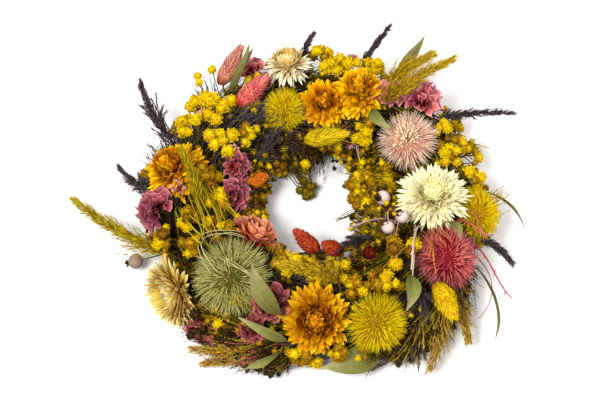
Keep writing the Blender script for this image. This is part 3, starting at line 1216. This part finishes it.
def make_placed():
    """Loose heads and papery flowers at the places where the photograph shows them."""
    placed_papers("papers_pink", PINK_PAPER, [
        (144, 62, 40, 6), (154, 118, 40, 5), (112, 34, 47, 6), (77, 35, 46, 5), (63, 154, 38, 5),
        (181, 69, 40, 6), (173, 145, 39, 7), (178, 130, 42, 7)])
    placed_papers("papers_mauve", MAUVE, [
        (229, -10, 46, 8), (234, 4, 46, 7), (228, 6, 50, 6), (239, -4, 50, 6), (70, 142, 36, 6),
        (196, 20, 42, 7), (241, 16, 40, 6)])
    placed_florets("heads_yellow", YELLOW, [
        (181, 166, 36, 4.5), (191, 116, 42, 4.5), (283, 101, 42, 4), (289, 81, 44, 4.5), (285, 92, 42, 4),
        (147, 88, 52, 6), (140, 66, 54, 6), (134, 84, 50, 5.5), (150, 70, 50, 5.5), (95, 166, 34, 4),
        (132, 30, 60, 4), (127, 32, 58, 4.5), (135, 44, 57, 4), (5, 160, 64, 4), (17, 158, 62, 5),
        (30, 158, 60, 4.5), (347, 152, 60, 4.5), (104, 172, 54, 4.5), (84, 67, 48, 5), (81, 60, 50, 5),
        (77, 66, 48, 5.5), (74, 60, 48, 4.5), (87, 70, 46, 5), (81, 76, 46, 5), (71, 70, 46, 4.5),
        (78, 50, 46, 4.5)])
    placed_florets("heads_ochre", OCHRE, [
        (301, 87, 42, 5), (20, 75, 40, 4), (21, 20, 44, 4), (238, -6, 42, 4.5), (244, 2, 44, 5),
        (232, 14, 42, 4.5), (247, 24, 42, 4.5), (226, 6, 40, 4), (305, 70, 40, 4), (297, 98, 38, 4),
        (2, 168, 66, 4.5), (9, 164, 62, 5), (14, 171, 64, 4.5), (21, 163, 66, 5), (27, 170, 62, 4.5),
        (34, 165, 60, 4.5), (352, 161, 64, 4.5), (343, 160, 64, 4.5), (0, 154, 57, 5), (11, 150, 57, 5),
        (350, 149, 56, 4.5), (22, 151, 58, 5), (339, 150, 54, 4.5), (297, 154, 47, 5), (303, 158, 44, 4.5),
        (289, 156, 45, 4)])
    placed_florets("heads_hole", DARK_BUTTON, [
        (104, 186, 66, 4.5), (112, 188, 69, 4.5), (121, 187, 66, 4), (105, 188, 72, 4.5), (116, 188, 73, 4),
        (97, 186, 67, 4), (111, 183, 62, 4.5), (106, 178, 56, 4), (114, 174, 50, 4)])


def make_strands():
    """Long bare stems and tendrils that cross the gaps between the flowers."""
    placed_strands("strands_hole_dark", DARK_GRASS, [
        (16, (240, 158, 36), (254, 155, 44), (272, 152, 48), (290, 152, 49), (308, 156, 44)),
        (7, (126, 160, 34), (116, 164, 42), (100, 164, 44), (84, 160, 40))], radius=0.4)
    placed_strands("strands_hole_brown", BARK, [
        (18, (238, 160, 34), (252, 158, 43), (272, 156, 47), (294, 156, 47), (312, 160, 42)),
        (12, (122, 165, 34), (118, 172, 46), (112, 181, 58), (108, 187, 68)),
        (12, (60, 158, 32), (72, 162, 40), (92, 164, 42), (112, 160, 38))])
    placed_strands("strands_hole_olive", OLIVE, [
        (9, (354, 160, 46), (346, 162, 58), (320, 158, 67), (300, 152, 69)),
        (5, (30, 165, 44), (36, 168, 52), (44, 168, 56), (52, 166, 58))])
    placed_strands("strands_left", STRAW_GREEN, [
        (5, (173, 88, 46), (190, 98, 52), (205, 104, 52), (213, 100, 50)),
        (6, (174, 78, 44), (186, 84, 52), (200, 88, 54), (212, 84, 50)),
        (4, (182, 96, 44), (192, 104, 52), (204, 116, 50), (211, 124, 46)),
        (4, (190, 64, 42), (198, 72, 52), (208, 80, 54), (215, 84, 50))], radius=0.5)
    placed_strands("strands_green", PALE_LEAF, [
        (3, (214, 76, 56), (216, 84, 66), (221, 96, 64), (226, 106, 56)),
        (2, (213, 80, 56), (216, 76, 66), (222, 70, 66), (229, 70, 60)),
        (3, (222, 74, 56), (228, 74, 68), (238, 78, 68), (249, 74, 60))], radius=0.5, splay=2.0)
    placed_strands("strands_inner", PALE_TWIG, [
        (2, (60, 150, 38), (48, 156, 46), (34, 162, 50)),
        (2, (344, 126, 42), (336, 122, 48), (325, 115, 50), (310, 104, 48)),
        (2, (338, 107, 44), (328, 92, 54), (318, 84, 54), (304, 55, 50)),
        (2, (351, 137, 42), (344, 142, 46), (336, 138, 48), (329, 127, 46))], radius=0.6, splay=1.5)
    placed_strands("strands_orange", ORANGE_STALK, [
        (3, (333, 90, 46), (330, 84, 60), (327, 70, 62)),
        (3, (333, 86, 46), (326, 82, 58), (318, 76, 56)),
        (2, (330, 86, 46), (322, 78, 58), (315, 65, 56)),
        (1, (292, 95, 44), (302, 88, 52), (322, 95, 50))], radius=0.5, splay=1.5)
    placed_strands("strands_lower_left", PINK_TENDRIL, [
        (9, (258, 2, 36), (246, -2, 44), (234, -6, 50)),
        (7, (256, 20, 36), (246, 18, 44), (234, 10, 48))], splay=6.0)
    placed_strands("strands_lower_straw", STRAW_GREEN, [
        (10, (260, -8, 36), (248, -12, 46), (236, -16, 54)),
        (8, (258, 8, 36), (246, 6, 46), (231, 0, 52))], splay=7.0)
    placed_strands("strands_lower_brown", BARK, [
        (14, (262, -8, 36), (250, -12, 44), (238, -16, 52)),
        (10, (256, 12, 36), (244, 8, 44), (232, -4, 50)),
        (22, (314, -2, 38), (304, -8, 44), (291, -12, 46)),
        (18, (316, 10, 40), (306, 2, 46), (294, -4, 48))], splay=7.0)
    placed_strands("tendril_right", PINK_TENDRIL, [
        (1, (350, 62, 42), (349, 58, 54), (347, 46, 52), (342, 31, 48)),
        (1, (340, 20, 40), (338, -2, 60), (332, -10, 66), (324, -9, 60))], radius=0.6, splay=0.5, wave=0.3)
    filler_brush("sprigs_lower_right", STRAW_GREEN, 5, (350, 358), (12, 30), (52, 68), 6, (-10, -2),
                 splay=2.0)
    filler_brush("sprigs_right", STRAW_GREEN, 4, (20, 34), (16, 36), (50, 64), 5, (6, 16), splay=2.0)


def make_all():
    straw_ring()
    stem_bed()
    make_strawflowers()
    make_pincushions()
    make_spikes()
    make_by_name("yellow_buttons", button_tuft, [YELLOW, OLIVE, OCHRE, BROWN_BUTTON])
    make_by_name("paper_flowers_bottom", paper_tuft, [DARK_MAUVE, OLIVE], swell=0.84)
    make_by_name("paper_flowers_inner", paper_tuft, [MAUVE, OLIVE], swell=0.92)
    make_by_name("paper_flowers_left", paper_tuft, [MAUVE, OLIVE])
    make_by_name("paper_flowers_top", paper_tuft, [BRIGHT_MAUVE, OLIVE])
    # the longer name goes first, because make_by_name skips what is grown
    make_by_name("grass_plume_left_inner", feather, [STRAW_GRASS], fullness=3.4, lean=0.36, branches=44,
                 spikelets=5, grain=8.5, slim=0.10)
    make_by_name("grass_plume_left", feather, [STRAW_GRASS], fullness=3.3, lean=0.34, branches=130, grain=6.6,
                 slim=0.17)
    make_by_name("grass_plume_inner", feather, [GOLD_GRASS], fullness=3.3, lean=0.34, grain=6.4, slim=0.18)
    make_by_name("grass_plumes_top", feather, [GOLD_GRASS], fullness=4.2, lean=0.32, branches=120, grain=7.2,
                 slim=0.15)
    make_by_name("grass_plumes_bottom", feather, [OCHRE_GRASS], fullness=3.4, lean=0.52)
    make_by_name("dark_grass_left", dark_plume, [DARK_GRASS])
    for name in ("dark_grass_right", "dark_grass_top"):
        make_by_name(name, dark_plume, [DARK_GRASS], strands=4, splay=0.07, fullness=2.6)
    for name in ("dark_grass_inner", "dark_grass_hole", "dark_grass_bottom"):
        make_by_name(name, fan, [DARK_GRASS], strands=11, spikelets=58, grain=7.0, slim=0.16, splay=0.12,
                     lean=0.38)
    for name, shape in (("leaves_upper_left", dict(sweep=-0.20)), ("leaves_lower_left", dict(sweep=-0.10)),
                        ("leaves_top_right", {}), ("leaves_right", dict(width=1.1)),
                        ("leaf_bottom", dict(width=0.72)), ("leaf_lower", dict(width=0.9))):
        make_by_name(name, leaf, [GREEN_LEAF, OLIVE], **shape)
    make_by_name("berries_pale", berry, [PALE_BERRY, OLIVE, BARK])
    make_by_name("berry_grey", berry, [GREY_BERRY, OLIVE, BARK])
    make_by_name("twigs_pale", twig, [PALE_TWIG])
    make_by_name("tendrils_pink", twig, [PINK_TENDRIL], hook=0.05)
    make_fillers()
    make_placed()
    make_strands()
    for node, material in (("binding_wires", BINDING_WIRE), ("hanging_ring", HANGER_WIRE),
                           ("hanger_staples", HANGER_WIRE)):
        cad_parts[node].data.materials.clear()
        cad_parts[node].data.materials.append(material)


# ------------------------------------------------------------------------------------- floor, light, camera

CAMERA_TARGET = np.array([-13.6, 13.9, 8.0]) * MM
CAMERA_DISTANCE = 1.133
CAMERA_ELEVATION = math.radians(60)
LENS = 85.0
SENSOR = 36.0
LIGHT_TARGET = (0, 0, 0.03)
FLOOR_REACH = 6.0
SKY = 0.6


def make_floor():
    n = Nodes("floor")
    n.shader.inputs["Base Color"].default_value = colour("F6F5F3")
    n.shader.inputs["Roughness"].default_value = 0.9
    mesh = bpy.data.meshes.new("floor")
    corners = [(x * FLOOR_REACH, y * FLOOR_REACH, 0) for x, y in ((-1, -1), (1, -1), (1, 1), (-1, 1))]
    mesh.from_pydata(corners, [], [(0, 1, 2, 3)])
    mesh.materials.append(n.material)
    floor = bpy.data.objects.new("floor", mesh)
    bpy.context.scene.collection.objects.link(floor)


def look_at(thing, place, target):
    """Puts a camera or a light at a place, facing a target."""
    direction = Vector(target) - Vector(place)
    thing.location = place
    thing.rotation_euler = direction.to_track_quat("-Z", "Y").to_euler()


def make_light(name, place, size, power):
    light = bpy.data.lights.new(name, "AREA")
    light.shape = "DISK"
    light.size = size
    light.energy = power
    lamp = bpy.data.objects.new(name, light)
    bpy.context.scene.collection.objects.link(lamp)
    look_at(lamp, place, LIGHT_TARGET)


def make_camera():
    camera = bpy.data.cameras.new("camera")
    camera.lens = LENS
    camera.sensor_width = SENSOR
    eye = bpy.data.objects.new("camera", camera)
    bpy.context.scene.collection.objects.link(eye)
    back = np.array([0, -math.cos(CAMERA_ELEVATION), math.sin(CAMERA_ELEVATION)])
    look_at(eye, tuple(CAMERA_TARGET + CAMERA_DISTANCE * back), tuple(CAMERA_TARGET))
    bpy.context.scene.camera = eye


def make_world():
    world = bpy.data.worlds.new("studio")
    world.use_nodes = True
    background = world.node_tree.nodes["Background"]
    background.inputs["Color"].default_value = (1, 1, 1, 1)
    background.inputs["Strength"].default_value = SKY
    bpy.context.scene.world = world
    bpy.context.scene.view_settings.view_transform = "Standard"


make_all()
make_floor()
make_light("key", (-0.45, -0.55, 1.2), 0.5, 22)
make_light("fill", (0.9, -0.5, 0.9), 1.0, 5)
make_light("rim", (0.2, 1.1, 0.9), 0.8, 5)
make_world()
make_camera()
